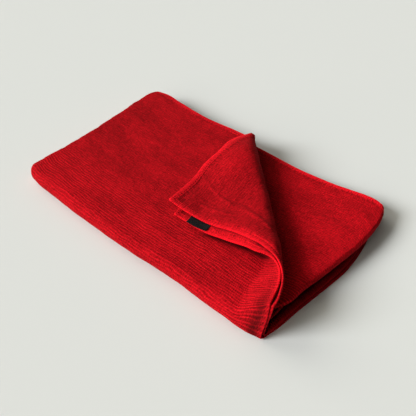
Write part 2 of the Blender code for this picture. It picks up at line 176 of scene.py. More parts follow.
# Finer sizes of the cloth
CLOTH_WALL = 0.0012
HEM_WALL = 0.0022
HEM_WIDTH = 0.0070
HEM_FADE = 0.0006  # to both sides of a hem's inner edge
HEM_STITCH = 0.0057  # stitch line, from the hem's edge
HEM_ROUND = 0.0009  # radius of a hem's folded edge
HEM_CLEAR = 0.0085  # from a hem's edge, where the cloth's grid needs no close places any more
HEM_TICK = 0.0030  # from one slanting pull of the hem to the next
STITCH_GROOVE = 0.0006  # how deep the stitches are pressed in
GROOVE_WIDTH = 0.0006
STITCH_PITCH = 0.0042
STITCH_WIDTH = 0.0012
PULL_INSET = 0.0085  # puckers that the stitches pull beside a long hem, from its edge
PULL_PITCH = 0.0070
SQUARE_INSET = 0.0110  # the dark square inside a corner's hems, from both its edges
THICKEST = 0.00275  # where two hems cross at a corner
THINNEST = 0.15  # of THICKEST, at the very edge
LABEL_CLEAR = 0.0002
LABEL_THICK = 0.0004
LABEL_YARN = 0.00045
RIB_PITCH = 0.0035
RIB_HEIGHT = 0.00012
RIBS_AROUND = 0.050  # across the cloth, where the raised ribs are highest, and how wide they fade
FAR_RIBS = 0.28  # of their height, what the raised ribs keep elsewhere
FAINT_RIBS = 0.22  # of their strength, what the ribs in the finish keep elsewhere
YARN_PITCH = 0.0024
FOLD_LENGTH = np.pi * LEVEL["outer"]

# How close together the places of each grid are
LEFT_STEP = 0.0056  # left of the turned corner
OUTER_STEP = 0.0030
INNER_STEP = 0.0034
CREASED_STEP = 0.0016  # where the second ply is creased
UNDER_STEP = 0.0070  # across the cloth, underneath

# Colours of the finishes. Shade runs from deep, at nothing, to bright, at one, and a little beyond.
GAUZE_DEEP, GAUZE_BRIGHT = (0.19, 0.0006, 0.0024, 1.0), (0.60, 0.0042, 0.0110, 1.0)
SATIN_DEEP, SATIN_BRIGHT = (0.0015, 0.0015, 0.0018, 1.0), (0.007, 0.007, 0.008, 1.0)
FLOOR_COLOUR = (0.725, 0.748, 0.742, 1.0)
FLOOR_SIZE = 40.0
BRIGHTEST = (0.86, 0.86, 0.86)  # no cloth gives back more light than this
FIRST_SHADE = 0.47  # before any pattern
MOST_SHADE = 1.5

# Streaks of uneven yarn: their length and width, where in the noise they are taken, how detailed it
# is, and what they add to the shade and the height
STREAK_COLUMNS = ("length", "width", "place", "detail", "shade", "height")
STREAKS = (
    (0.0120, 0.0014, 0.0, 2.0, 0.90, 0.20),
    (0.0014, 0.0080, 7.3, 2.0, 0.80, 0.18),
    (0.0600, 0.0350, 3.1, 3.0, 0.60, 0.00),
    (0.0018, 0.0018, 2.6, 0.0, 0.80, 0.00),
    (0.0060, 0.0028, 5.2, 1.0, 0.30, 0.08),
)

# Camera and light, on the same axes
CAMERA_LENS = 53.654
CAMERA_PLACE = (0.4007, -0.4408, 0.5570)
CAMERA_TURN = (46.2, 0.0, 41.4)
PALE = (1.0, 1.0, 0.99)
WARM = (1.0, 0.96, 0.84)
LIGHT_COLUMNS = ("name", "bearing", "height", "spread", "strength", "colour")
LIGHTS = (
    ("key", 235.0, 31.0, 28.0, 3.75, PALE),
    ("left_fill", 180.0, 35.0, 40.0, 1.10, WARM),
    ("front_fill", 270.0, 20.0, 40.0, 1.10, WARM),
    ("back_fill", 135.0, 35.0, 40.0, 0.28, WARM),
)
ROOM_STRENGTH = 0.03

# Waves of the crinkled gauze. Heading is in degrees from the length.
CRINKLE_COLUMNS = ("wavelength", "heading", "height", "phase")
CRINKLES = (
    (0.0470, 62.0, 0.00022, 0.4),
    (0.0330, 97.0, 0.00018, 2.1),
    (0.0210, 80.0, 0.00012, 4.0),
    (0.0260, 20.0, 0.00010, 1.2),
    (0.0125, 84.0, 0.00007, 5.1),
    (0.0091, 101.0, 0.00006, 3.3),
)

# Creases pressed into the cloth as it was folded, from one place of the flat cloth to another, by
# distance along the length and across from the front fold. Below nothing in height, a crease stands
# out on the underside, which the turned corner shows.
CREASE_COLUMNS = ("plies", "along_from", "across_from", "along_to", "across_to", "bow", "width", "height")
CREASES = (
    ("second", 0.3336, 0.2652, 0.3635, 0.1581, 0.0040, 0.0050, -0.00120),
    ("second", 0.3445, 0.2574, 0.3484, 0.1838, -0.0030, 0.0050, 0.00080),
    ("second", 0.3716, 0.2497, 0.3679, 0.1939, 0.0020, 0.0046, -0.00120),
    ("second", 0.3590, 0.2560, 0.3600, 0.2000, 0.0020, 0.0046, 0.00070),
    ("second", 0.3450, 0.2100, 0.3700, 0.1350, 0.0030, 0.0050, -0.00100),
    ("outer", 0.3530, 0.1400, 0.3740, 0.0850, 0.0030, 0.0060, -0.00060),
    ("outer", 0.3250, 0.1500, 0.3560, 0.0760, 0.0060, 0.0080, -0.00060),
    ("outer", 0.3492, 0.0224, 0.3679, 0.0137, 0.0010, 0.0040, -0.00070),
    ("outer second", 0.3850, 0.2350, 0.3850, 0.1000, 0.0000, 0.0400, -0.00260),
    ("second", 0.3860, 0.2400, 0.3950, 0.0300, 0.0000, 0.0200, -0.00080),
    ("outer", 0.1100, 0.0330, 0.1700, 0.0900, 0.0060, 0.0070, 0.00045),
    ("outer", 0.0300, 0.1500, 0.1300, 0.1800, 0.0080, 0.0080, -0.00040),
    ("outer", 0.1500, 0.2200, 0.2300, 0.1600, -0.0060, 0.0070, 0.00040),
    ("outer", 0.2050, 0.0400, 0.2500, 0.0850, 0.0050, 0.0070, -0.00045),
    ("outer", 0.0500, -0.0600, 0.1800, -0.1000, 0.0080, 0.0080, 0.00040),
    ("outer", 0.2200, -0.1600, 0.3400, -0.0900, -0.0080, 0.0080, -0.00045),
    ("third", 0.3406, 0.1553, 0.3646, 0.1870, 0.0020, 0.0060, -0.00060),
    ("third", 0.3550, 0.1900, 0.3830, 0.2300, 0.0020, 0.0060, 0.00050),
)

# Painted light and shade, which multiplies the cloth's colour: darker in the gaps between plies, under
# the turned corner's hems, under the fold at the right end and on the undersides near the end hems, to
# help the light there, a little darker over the turned corner and along the front fold, and brighter
# on the rims of hems and over the bared third ply. Its rows lie as creases do.
PAINTED_LIGHT_COLUMNS = (*CREASE_COLUMNS[:-1], "painted_light")
PAINTED_LIGHT_ROWS = (
    ("outer", 0.2560, 0.0862, 0.3250, 0.1076, 0.0000, 0.0090, 0.15),
    ("outer", 0.3000, 0.1016, 0.3620, 0.1120, 0.0000, 0.0090, 0.15),
    ("outer", 0.3805, 0.2350, 0.3820, 0.1350, 0.0000, 0.0040, 0.06),
    ("outer", 0.3818, 0.1550, 0.3905, 0.0900, 0.0000, 0.0040, 0.06),
    ("second", 0.3955, 0.0000, 0.3850, 0.0420, 0.0000, 0.0040, 0.06),
    ("second", 0.3885, 0.0280, 0.3815, 0.1050, 0.0000, 0.0060, 0.06),
    ("second", 0.2600, 0.2750, 0.4200, 0.2750, 0.0000, 0.0070, 1.25),
    ("second", 0.3930, 0.0900, 0.3930, 0.3000, 0.0000, 0.0060, 1.20),
    ("outer", 0.3930, 0.0900, 0.3930, 0.3000, 0.0000, 0.0100, 1.15),
    ("third", 0.2400, 0.2750, 0.4400, 0.2750, 0.0000, 0.0080, 1.45),
    ("outer", -0.0200, 0.2760, 0.3400, 0.2760, 0.0000, 0.0060, 1.25),
    ("second", 0.3450, 0.3000, 0.3450, 0.0900, 0.0000, 0.1600, 0.86),
    ("third", 0.3400, -0.0500, 0.3400, 0.3300, 0.0000, 0.3000, 1.18),
    ("third", 0.4045, -0.0800, 0.4045, 0.3500, 0.0000, 0.0060, 0.06),
    ("outer second", 0.3830, -0.3200, 0.3830, 0.0700, 0.0000, 0.0180, 0.08),
    ("outer second", 0.3950, -0.3200, 0.3950, 0.0700, 0.0000, 0.0300, 0.65),
    ("outer", -0.0800, 0.0165, 0.4700, 0.0165, 0.0000, 0.0330, 0.92),
)


def smooth_step(value, low, high):
    part = np.clip((np.asarray(value, float) - low) / (high - low), 0.0, 1.0)
    return part * part * (3.0 - 2.0 * part)


def named_rows(rows, columns):
    return [dict(zip(columns, row)) for row in rows]


def read_table(rows, columns, name, at):
    """A column of a table at any place, on a smooth curve through its rows."""
    stations = np.array([row[0] for row in rows])
    values = np.array([row[columns.index(name)] for row in rows])
    slopes = np.gradient(values, stations)
    at = np.clip(at, stations[0], stations[-1])
    first = np.clip(np.searchsorted(stations, at) - 1, 0, len(stations) - 2)
    step = stations[first + 1] - stations[first]
    part = (at - stations[first]) / step
    rise = smooth_step(part, 0.0, 1.0)
    start = part * (1.0 - part) ** 2 * step * slopes[first]
    end = part**2 * (part - 1.0) * step * slopes[first + 1]
    return values[first] * (1.0 - rise) + values[first + 1] * rise + start + end


def front_edge(x):
    return read_table(SIDES, SIDE_COLUMNS, "front", x)


def back_edge(x, ply):
    """The long hems, which fan out a little from ply to ply."""
    if ply in ("outer", "second"):
        return read_table(SIDES, SIDE_COLUMNS, "upper_hems", x) - (HEM_STEP if ply == "second" else 0.0)
    return read_table(SIDES, SIDE_COLUMNS, "lower_hems", x)


def corner_shift(corner, y, turn):
    """How far a corner of the left folds is set in, which grows with the square of the way into it."""
    above, below = corner["set_in_above"], corner["set_in_below"]
    most = below + (above - below) * smooth_step(turn, 0.0, 1.0)
    return most * np.clip((y - corner["rounded_from"]) / corner["rounded_over"], 0.0, 1.0) ** 2


def left_shift(x, y, turn):
    """How far the left folds' S and corners move a point along the length."""
    wave = LEFT_WAVE * np.sin(np.pi * y / LEFT_WAVE_SPAN)
    corners = corner_shift(FRONT_CORNER, y, turn) + corner_shift(BACK_CORNER, y, turn)
    wave_share = 1.0 - smooth_step(x, 0.0, LEFT_WAVE_REACH)
    return wave * wave_share + corners * (1.0 - smooth_step(x, 0.0, CORNER_REACH))


def across(ply, level, x, turn):
    """Depth and height of a ply before its corner is turned. Turn is -1 at the under long hem, 0 and 1
    at the ends of the front fold's half round, and 2 at the top long hem."""
    bend_line = front_edge(x) + BEND
    pinch = smooth_step(x, PINCH_FROM, PINCH_TO) * PINCH_SHARE
    if ply == "third":
        bend_line = bend_line + PINCHED_BACK * smooth_step(x, PINCHED_BACK_FROM, PINCH_TO)
        pinch = 0.0
    hem = back_edge(x, ply)
    inward = LEVEL["outer"] - level
    bend = np.clip(turn, 0.0, 1.0)
    angle = (bend - 0.5) * np.pi
    round_y = bend_line - level * np.cos(angle)
    round_z = level * np.sin(angle)
    nose = bend_line - LEVEL["outer"] + NOSE_SETBACK * inward
    slope_end = bend_line + SLOPE_SETBACK * inward
    forward = np.clip(bend / PINCH_FLOOR, 0.0, 1.0)
    upward = np.clip((bend - PINCH_FLOOR) / (1.0 - PINCH_FLOOR), 0.0, 1.0)
    sharp_y = bend_line + (nose - bend_line) * forward + (slope_end - nose) * upward
    sharp_z = -level + 2.0 * level * upward
    bend_y = round_y + (sharp_y - round_y) * pinch
    bend_z = round_z + (sharp_z - round_z) * pinch
    top_start = bend_line + (slope_end - bend_line) * pinch
    y = np.where(turn > 1.0, top_start + (turn - 1.0) * (hem - top_start), bend_y)
    y = np.where(turn < 0.0, bend_line - turn * (hem - bend_line), y)
    z = np.where(turn > 1.0, level, np.where(turn < 0.0, -level, bend_z))
    return y, MID_HEIGHT + z


def roll_section(along):
    """The roll's section at places along its line, as arrays."""
    section = {name: read_table(ROLL, ROLL_COLUMNS, name, along) for name in ROLL_COLUMNS[1:]}
    turn = np.radians(ROLL_ANGLE)
    section["x"] = section["lifts_at"] * np.cos(turn) + along * np.sin(turn)
    section["y"] = section["lifts_at"] * np.sin(turn) - along * np.cos(turn)
    section["dx"] = np.cos(np.radians(section["heading"]))
    section["dy"] = np.sin(np.radians(section["heading"]))
    return section


def turn_corner(x, y, level):
    """Where a point of the flat top goes when the corner is rolled over and laid back."""
    low = np.full(x.shape, ROLL[0][0])
    high = np.full(x.shape, ROLL[-1][0])
    for _ in range(40):
        middle = (low + high) / 2.0
        section = roll_section(middle)
        beyond = (x - section["x"]) * section["dy"] > (y - section["y"]) * section["dx"]
        low = np.where(beyond, middle, low)
        high = np.where(beyond, high, middle)
    section = roll_section((low + high) / 2.0)
    reach = (x - section["x"]) * section["dx"] + (y - section["y"]) * section["dy"]
    inside = level - LEVEL["second"]
    bend = section["bend"] - inside
    curl = section["curl"] - inside
    angle = np.radians(section["ramp_angle"])
    ramp_from = bend * angle
    curl_from = ramp_from + section["ramp"]
    curl_to = curl_from + curl * (np.pi - angle)
    on_bend = np.clip(reach, 0.0, ramp_from)
    on_ramp = np.clip(reach - ramp_from, 0.0, section["ramp"])
    on_curl = np.clip(reach - curl_from, 0.0, curl_to - curl_from)
    over = np.clip(reach - curl_to, 0.0, None)
    out = np.minimum(reach, 0.0) + bend * np.sin(on_bend / bend) + on_ramp * np.cos(angle)
    out += curl * (np.sin(angle + on_curl / curl) - np.sin(angle)) - over
    rise = bend * (1.0 - np.cos(on_bend / bend)) + on_ramp * np.sin(angle)
    rise += curl * (np.cos(angle) - np.cos(angle + on_curl / curl))
    height = MID_HEIGHT + level + rise
    settled = MID_HEIGHT + LEVEL["outer"] + 2.0 * PITCH - inside
    height += (settled - height) * smooth_step(over, 0.0, SETTLES_OVER)
    still = reach <= 0.0
    x_out = np.where(still, x, section["x"] + out * section["dx"])
    y_out = np.where(still, y, section["y"] + out * section["dy"])
    bent = (reach > -ROLL_MARGIN) & (over < ROLL_MARGIN)
    return x_out, y_out, np.where(still, MID_HEIGHT + level, height), bent


def laid_flat(ply, x, turn, y):
    """Where a point of a top ply lies before its corner is turned: its X and Y on the flat pile."""
    from_front = np.clip(y, 0.0, None)
    top_end = read_table(END_HEMS, END_COLUMNS, ply + "_top", from_front)
    under_end = read_table(END_HEMS, END_COLUMNS, ply + "_under", from_front)
    end = under_end + (top_end - under_end) * smooth_step(turn, 0.3, 1.0)
    flat_x = x + (end - LENGTH) * smooth_step(x, END_FADES_FROM, LENGTH)
    drawn = read_table(DRAWN_BACK, DRAWN_COLUMNS, ply, x) * np.clip(y / DEPTH, 0.0, 1.0) ** 2
    return flat_x, y + drawn * smooth_step(turn, 0.5, 1.0)


def top_ply_point(ply, level, x, turn):
    """A point of the outer or second ply, whose top right corner is turned back."""
    y, z = across(ply, level, x, turn)
    flat_x, flat_y = laid_flat(ply, x, turn, y)
    folded_x, folded_y, folded_z, _ = turn_corner(flat_x, flat_y, level)
    lifted = smooth_step(turn, LIFTS_FROM, 1.05)
    x_out = flat_x + (folded_x - flat_x) * lifted + left_shift(x, y, turn)
    y_out = flat_y + (folded_y - flat_y) * lifted
    z_out = z + (folded_z - MID_HEIGHT - level) * lifted
    return np.stack([x_out, y_out, z_out], -1)


def rolled(ply, x, turn):
    """Whether a point of a top ply is on the roll, where the cloth bends most."""
    y, _ = across(ply, LEVEL[ply], x, turn)
    flat_x, flat_y = laid_flat(ply, x, turn, y)
    return (turn > 0.6) & turn_corner(flat_x, flat_y, LEVEL[ply])[3]


def third_ply_point(level, x, turn):
    """A point of the third ply, which lies flat and ends in the fold to the fourth."""
    from_front = np.clip(across("third", level, x, turn)[0], 0.0, None)
    upper = read_table(LIPS, LIP_COLUMNS, "upper", from_front)
    lower = read_table(LIPS, LIP_COLUMNS, "lower", from_front)
    end = lower + (upper - lower) * smooth_step(turn, 0.0, 1.1)
    reached = x + (end - LENGTH) * smooth_step(x, LIP_FADES_FROM, LENGTH)
    y, z = across("third", level, reached, turn)
    roll = np.radians(ROLL_ANGLE)
    beyond_roll = reached * np.cos(roll) + y * np.sin(roll)
    above = np.clip((level - LEVEL["third"]) / (2.0 * LIP_RADIUS) + 1.0, 0.0, 1.0)
    rise = LIP_RAISED * above * smooth_step(beyond_roll, *RISES_BEYOND) * smooth_step(reached, *RISES_ALONG)
    return np.stack([reached, y, z + rise * smooth_step(turn, 0.0, 1.0)], -1)


def edge_distances(x, turn):
    """How far a place of a ply is from its end hem and from its nearest long hem."""
    return LENGTH - x, np.minimum(2.0 - turn, turn + 1.0) * DEPTH


def hem_share(distance):
    """One on a hem, fading to nothing past its stitch line."""
    return 1.0 - smooth_step(distance, HEM_WIDTH - HEM_FADE, HEM_WIDTH + HEM_FADE)


def wall_thickness(x, turn, end_hem):
    """Thickness of the cloth: doubled on its hems, pressed in along their stitches, round at the edges."""
    end, side = edge_distances(x, turn)
    if not end_hem:
        end = np.full(np.shape(x), DEPTH)
    on_hem = np.maximum(hem_share(end), hem_share(side))
    wall = CLOTH_WALL + (HEM_WALL - CLOTH_WALL) * on_hem
    wall = wall + (THICKEST - HEM_WALL) * hem_share(end) * hem_share(side)
    for distance in (end, side):
        wall = wall - STITCH_GROOVE * np.exp(-(((distance - HEM_STITCH) / GROOVE_WIDTH) ** 2))
        edge = np.clip(distance / HEM_ROUND, 0.0, 1.0)
        wall = wall * (THINNEST + (1.0 - THINNEST) * np.sqrt(1.0 - (1.0 - edge) ** 2))
    return np.clip(wall, THINNEST * THICKEST, THICKEST)


def crease_share(crease, along, across_cloth):
    """One along the middle of a crease or a painted shade, fading out at both sides and both ends."""
    ahead_by = along - crease["along_from"]
    beside_by = across_cloth - crease["across_from"]
    run = np.array([crease["along_to"] - crease["along_from"], crease["across_to"] - crease["across_from"]])
    length = np.hypot(*run)
    ahead, beside = run / length
    part = (ahead_by * ahead + beside_by * beside) / length
    off = beside_by * ahead - ahead_by * beside
    off = off - crease["bow"] * np.sin(np.pi * np.clip(part, 0.0, 1.0))
    reach = smooth_step(part, -0.08, 0.25) * (1.0 - smooth_step(part, 0.75, 1.08))
    return reach * np.exp(-((off / (0.5 * crease["width"])) ** 2))


def crease_height(ply, along, across_cloth):
    """Height of the creases pressed into this ply."""
    height = np.zeros(np.shape(along))
    for crease in named_rows(CREASES, CREASE_COLUMNS):
        if ply in crease["plies"].split():
            height = height + crease["height"] * crease_share(crease, along, across_cloth)
    return height


def painted_light_of(ply, along, across_cloth):
    """The painted light and shade of this ply, darker in places and brighter in others, which multiplies its
    colour.
    """
    painted_light = np.ones(np.shape(along))
    for row in named_rows(PAINTED_LIGHT_ROWS, PAINTED_LIGHT_COLUMNS):
        if ply in row["plies"].split():
            painted_light = painted_light * (1.0 - (1.0 - row["painted_light"]) * crease_share(row, along, across_cloth))
    return painted_light


def relief(ply, x, turn, along):
    """Height of the ribs, the crinkles and the creases over a flat cloth."""
    across_cloth = cloth_across(turn)
    wander = 0.5 * np.sin(along * 41.0 + 1.3) + 0.35 * np.sin(along * 97.0 + across_cloth * 60.0)
    ribs = np.sin(2.0 * np.pi * across_cloth / RIB_PITCH + wander)
    swell = np.sin(along * 53.0 + across_cloth * 190.0) * np.sin(along * 23.0 - across_cloth * 71.0)
    near_front = np.exp(-(((across_cloth - RIBS_AROUND) / RIBS_AROUND) ** 2))
    height = RIB_HEIGHT * (FAR_RIBS + (1.0 - FAR_RIBS) * near_front) * ribs * (0.65 + 0.35 * swell)
    for wave in named_rows(CRINKLES, CRINKLE_COLUMNS):
        angle = np.radians(wave["heading"])
        run = along * np.cos(angle) + across_cloth * np.sin(angle)
        bent = 0.7 * np.sin(run * 29.0 + along * 37.0 + wave["phase"])
        turned = 2.0 * np.pi * run / wave["wavelength"] + wave["phase"] + bent
        height = height + wave["height"] * np.sin(turned)
    height = height + crease_height(ply, along, across_cloth)
    end, side = edge_distances(x, turn)
    return height * (1.0 - 0.75 * np.maximum(hem_share(end), hem_share(side)))


def flat_columns(places, level):
    """Columns of flat cloth: place along the length, level in the pile, distance along the cloth."""
    places = np.asarray(places, float)
    return np.stack([places, np.full(len(places), level), places], -1)


def left_fold(steps):
    """Columns of the outer ply where it rounds the left end and comes back inside."""
    radius = 1.5 * PITCH
    angle = np.radians(np.linspace(-88.0, 90.0, steps, endpoint=False))
    x = radius * (1.0 - np.cos(angle)) + WALL / 2
    along = radius * (angle - np.pi / 2)
    return np.stack([x, 2.0 * PITCH + radius * np.sin(angle), along], -1)


def right_fold(steps):
    """Columns of the third ply where it turns down into the fourth at the right end."""
    angle = np.radians(np.linspace(90.0, -90.0, steps))
    x = LENGTH - LIP_DEPTH * (1.0 - np.cos(angle)) - WALL / 2
    along = LENGTH + LIP_DEPTH * (np.pi / 2 - angle)
    return np.stack([x, LEVEL["third"] - LIP_RADIUS + LIP_RADIUS * np.sin(angle), along], -1)


def hem_places(edge, inward):
    """Places close together over a hem, from its edge inwards."""
    distances = np.array([0.0, 0.00015, 0.0004, 0.0008, 0.0015, 0.0030, 0.0045, 0.0050])
    distances = np.append(distances, [0.0054, 0.0057, 0.0060, 0.0064, 0.0068, 0.0073])
    return edge + inward * distances


def across_rows(under_step, bend_step, top_step):
    """Rows from the under long hem round the front fold to the top long hem."""
    edge = hem_places(0.0, 1.0)
    under = np.concatenate([edge, np.arange(HEM_CLEAR, DEPTH - 0.002, under_step)]) / DEPTH - 1.0
    bend = np.linspace(0.0, 1.0, int(FOLD_LENGTH / bend_step), endpoint=False)
    top = np.arange(0.0, DEPTH - HEM_CLEAR, top_step) / DEPTH + 1.0
    return np.concatenate([under, bend, top, 2.0 - edge[::-1] / DEPTH])


def cloth_places(sheet, columns, rows):
    """What each point of a grid stands for: column values and row value."""
    flat = np.array([vertex.co for vertex in sheet.verts])
    column = (flat[:, 0] + 0.5) * (len(columns) - 1)
    row = (flat[:, 1] + 0.5) * (len(rows) - 1)
    values = [np.interp(column, np.arange(len(columns)), columns[:, k]) for k in range(3)]
    return (*values, np.interp(row, np.arange(len(rows)), rows))


def set_points(sheet, places):
    for vertex, place in zip(sheet.verts, places):
        vertex.co = place


def point_normals(sheet):
    sheet.normal_update()
    return np.array([vertex.normal for vertex in sheet.verts])


def new_piece(name, sheet, finish, cloth_map, hem_map):
    """Makes the object, smooth, with its place on the cloth and its distances from the hems as maps in
    metres, and its painted light and shade as a third."""
    painted_light = painted_light_of(name.split("_")[0], *cloth_map.T)
    painted_light_map = np.stack([painted_light, painted_light], -1)
    mesh = bpy.data.meshes.new(name)
    sheet.to_mesh(mesh)
    sheet.free()
    mesh.materials.append(finish)
    mesh.shade_smooth()
    corner_points = np.empty(len(mesh.loops), np.int32)
    mesh.loops.foreach_get("vertex_index", corner_points)
    for map_name, places in (("cloth", cloth_map), ("hem", hem_map), ("painted_light", painted_light_map)):
        uv_layer = mesh.uv_layers.new(name=map_name)
        uv_layer.data.foreach_set("uv", places[corner_points].astype(np.float32).ravel())
    piece = bpy.data.objects.new(name, mesh)
    bpy.context.scene.collection.objects.link(piece)
    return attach(piece, "root")


def cloth_across(turn):
    """Distance across the flat cloth from the start of the front fold."""
    above = np.where(turn < 1.0, turn * FOLD_LENGTH, FOLD_LENGTH + (turn - 1.0) * DEPTH)
    return np.where(turn < 0.0, turn * DEPTH, above)


def lay_ply(name, columns, rows, point, finish, end_hem=True):
    """One ply of cloth: laid on its form, crinkled, then given its wall with thicker hems."""
    sheet = bmesh.new()
    bmesh.ops.create_grid(sheet, x_segments=len(columns) - 1, y_segments=len(rows) - 1, size=0.5)
    x, level, along, turn = cloth_places(sheet, columns, rows)
    placed = point(x, level, turn) - np.array([MIDDLE[0], MIDDLE[1], 0.0])
    set_points(sheet, placed)
    placed = placed + point_normals(sheet) * relief(name.split("_")[0], x, turn, along)[:, None]
    set_points(sheet, placed)
    wall = wall_thickness(x, turn, end_hem)
    weights = (wall / THICKEST - THINNEST) / (1.0 - THINNEST)
    layer = sheet.verts.layers.deform.verify()
    for vertex, weight in zip(sheet.verts, weights):
        vertex[layer][0] = float(weight)
    end, side = edge_distances(x, turn)
    hem_map = np.stack([end if end_hem else np.full(len(end), DEPTH), side], -1)
    piece = new_piece(name, sheet, finish, np.stack([along, cloth_across(turn)], -1), hem_map)
    piece.vertex_groups.new(name="wall")
    solidify = piece.modifiers.new("Wall", "SOLIDIFY")
    solidify.thickness = THICKEST
    solidify.offset = 0.0
    solidify.vertex_group = "wall"
    solidify.thickness_vertex_group = THINNEST
    return piece


def make_outer_cloth(finish):
    left = np.arange(0.006, 0.156, LEFT_STEP)
    right = np.arange(0.160, LENGTH - HEM_CLEAR, OUTER_STEP)
    places = np.concatenate([left, right, hem_places(LENGTH, -1.0)[::-1]])
    inner = flat_columns([0.0462, 0.0330, 0.0200, 0.0080], 0.5 * PITCH)
    inner[:, 2] = -np.pi * 1.5 * PITCH - inner[:, 2]
    columns = np.concatenate([inner, left_fold(12), flat_columns(places, LEVEL["outer"])])
    rows = across_rows(UNDER_STEP, bend_step=0.0011, top_step=0.00095)

    def point(x, level, turn):
        return top_ply_point("outer", level, x, turn)

    return lay_ply("outer_cloth", columns, rows, point, finish)


def make_second_cloth(finish):
    left = np.arange(HIDDEN_FROM + GAP, 0.315, INNER_STEP)
    creased = np.arange(0.3170, LENGTH - HEM_CLEAR, CREASED_STEP)
    places = np.concatenate([left, creased, hem_places(LENGTH, -1.0)[::-1]])
    rows = across_rows(UNDER_STEP, bend_step=0.0013, top_step=0.0011)

    def point(x, level, turn):
        return top_ply_point("second", level, x, turn)

    return lay_ply("second_cloth", flat_columns(places, LEVEL["second"]), rows, point, finish)


def make_third_cloth(finish):
    places = np.arange(HIDDEN_FROM + GAP, LENGTH - 0.004, INNER_STEP)
    columns = np.concatenate([flat_columns(places, LEVEL["third"]), right_fold(12)])
    rows = across_rows(UNDER_STEP, bend_step=0.0020, top_step=0.0011)

    def point(x, level, turn):
        return third_ply_point(level, x, turn)

    return lay_ply("third_cloth", columns, rows, point, finish, end_hem=False)


def make_block(name, x_places, levels, layers, ply, finish):
    """Plies hidden but for their hems: one rounded solid, with a rounded hem per ply at the back."""
    pitch = 2.0 / layers
    middles = 1.0 - pitch * (np.arange(layers) + 0.5)
    edge_angles = np.radians(np.linspace(90.0, -90.0, 7))
    heights = np.ravel([[middle + 0.5 * pitch * np.sin(edge_angles)] for middle in middles])
    insets = np.tile(HEM_GROOVE * (1.0 - np.cos(edge_angles)), layers)
    hem_of_row = np.repeat(np.arange(layers), len(edge_angles))
    under = np.linspace(-1.0, 0.0, 4, endpoint=False)
    bend = np.linspace(0.0, 1.0, 12, endpoint=False)
    rows = np.concatenate([under, bend, [1.0, 1.5, 2.0], 2.0 + np.arange(1, len(heights) + 1)])
    steps = np.arange(len(heights) + 1)

    def point(x, level, row):
        y, z = across(ply, level, x, np.minimum(row, 2.0))
        at_back = np.maximum(row - 2.0, 0.0)
        inset = np.interp(at_back, steps, np.append(HEM_GROOVE, insets))
        height = np.interp(at_back, steps, np.append(1.0, heights))
        hem = np.interp(at_back, steps, np.append(0, hem_of_row)).round()
        uneven = 0.0009 * (1.0 + np.sin(x * (31.0 + 7.0 * hem) + 2.3 * hem))
        behind = np.where(row >= 2.0, inset + uneven, np.where(row <= -1.0, HEM_GROOVE, 0.0))
        return np.stack([x, y - behind, np.where(row > 2.0, MID_HEIGHT + level * height, z)], -1)

    block = bmesh.new()
    bmesh.ops.create_grid(block, x_segments=len(x_places) - 1, y_segments=len(rows) - 1, size=0.5)
    columns = np.stack([x_places, levels, x_places], -1)
    x, level, along, row = cloth_places(block, columns, rows)
    set_points(block, point(x, level, row) - np.array([MIDDLE[0], MIDDLE[1], 0.0]))
    cloth_map = np.stack([along, np.minimum(row, 2.0) * DEPTH + np.maximum(row - 2.0, 0.0) * 0.0006], -1)
    piece = new_piece(name, block, finish, cloth_map, np.full(cloth_map.shape, DEPTH))
    close_block(piece.data)
    return piece


def close_block(mesh):
    """Joins the first row to the last and fills both flat ends."""
    block = bmesh.new()
    block.from_mesh(mesh)
    bmesh.ops.remove_doubles(block, verts=block.verts, dist=1e-6)
    bmesh.ops.holes_fill(block, edges=[edge for edge in block.edges if edge.is_boundary])
    bmesh.ops.recalc_face_normals(block, faces=block.faces)
    block.to_mesh(mesh)
    block.free()


def make_label_patch(finish):
    """The woven label, blank, stitched on the side of the end hem that the turned corner shows."""
    level = LEVEL["outer"] - HEM_WALL / 2 - LABEL_CLEAR - LABEL_THICK / 2
    across_hem = LENGTH + LABEL_OVERHANG - np.linspace(LABEL_WIDTH, 0.0, 25)
    tip_turn = 2.0 - LABEL_FROM_TIP / DEPTH
    rows = np.linspace(tip_turn - LABEL_LENGTH / DEPTH, tip_turn, 45)
    patch = bmesh.new()
    bmesh.ops.create_grid(patch, x_segments=24, y_segments=44, size=0.5)
    x, level, along, turn = cloth_places(patch, flat_columns(across_hem, level), rows)
    level = level + crease_height("outer", np.minimum(along, LENGTH), cloth_across(turn))
    set_points(patch, top_ply_point("outer", level, x, turn) - np.array([MIDDLE[0], MIDDLE[1], 0.0]))
    cloth_map = np.stack([along, cloth_across(turn)], -1)
    piece = new_piece("label_patch", patch, finish, cloth_map, np.full(cloth_map.shape, DEPTH))
    solidify = piece.modifiers.new("Wall", "SOLIDIFY")
    solidify.thickness = LABEL_THICK
    solidify.offset = 0.0
    return piece


class Value:
    """A shader value of a finish. Arithmetic on it adds Math nodes."""

    def __init__(self, finish, socket):
        self.finish = finish
        self.socket = socket

    def math(self, operation, *others):
        return self.finish.add("Math", {"operation": operation}, dict(enumerate((self, *others))))

    def output(self, name):
        return Value(self.finish, self.socket.node.outputs[name])

    def __add__(self, other):
        return self.math("ADD", other)

    def __radd__(self, other):
        return self.math("ADD", other)

    def __sub__(self, other):
        return self.math("SUBTRACT", other)

    def __rsub__(self, other):
        return self.finish.add("Math", {"operation": "SUBTRACT"}, {0: other, 1: self})

    def __mul__(self, other):
        return self.math("MULTIPLY", other)

    def __rmul__(self, other):
        return self.math("MULTIPLY", other)


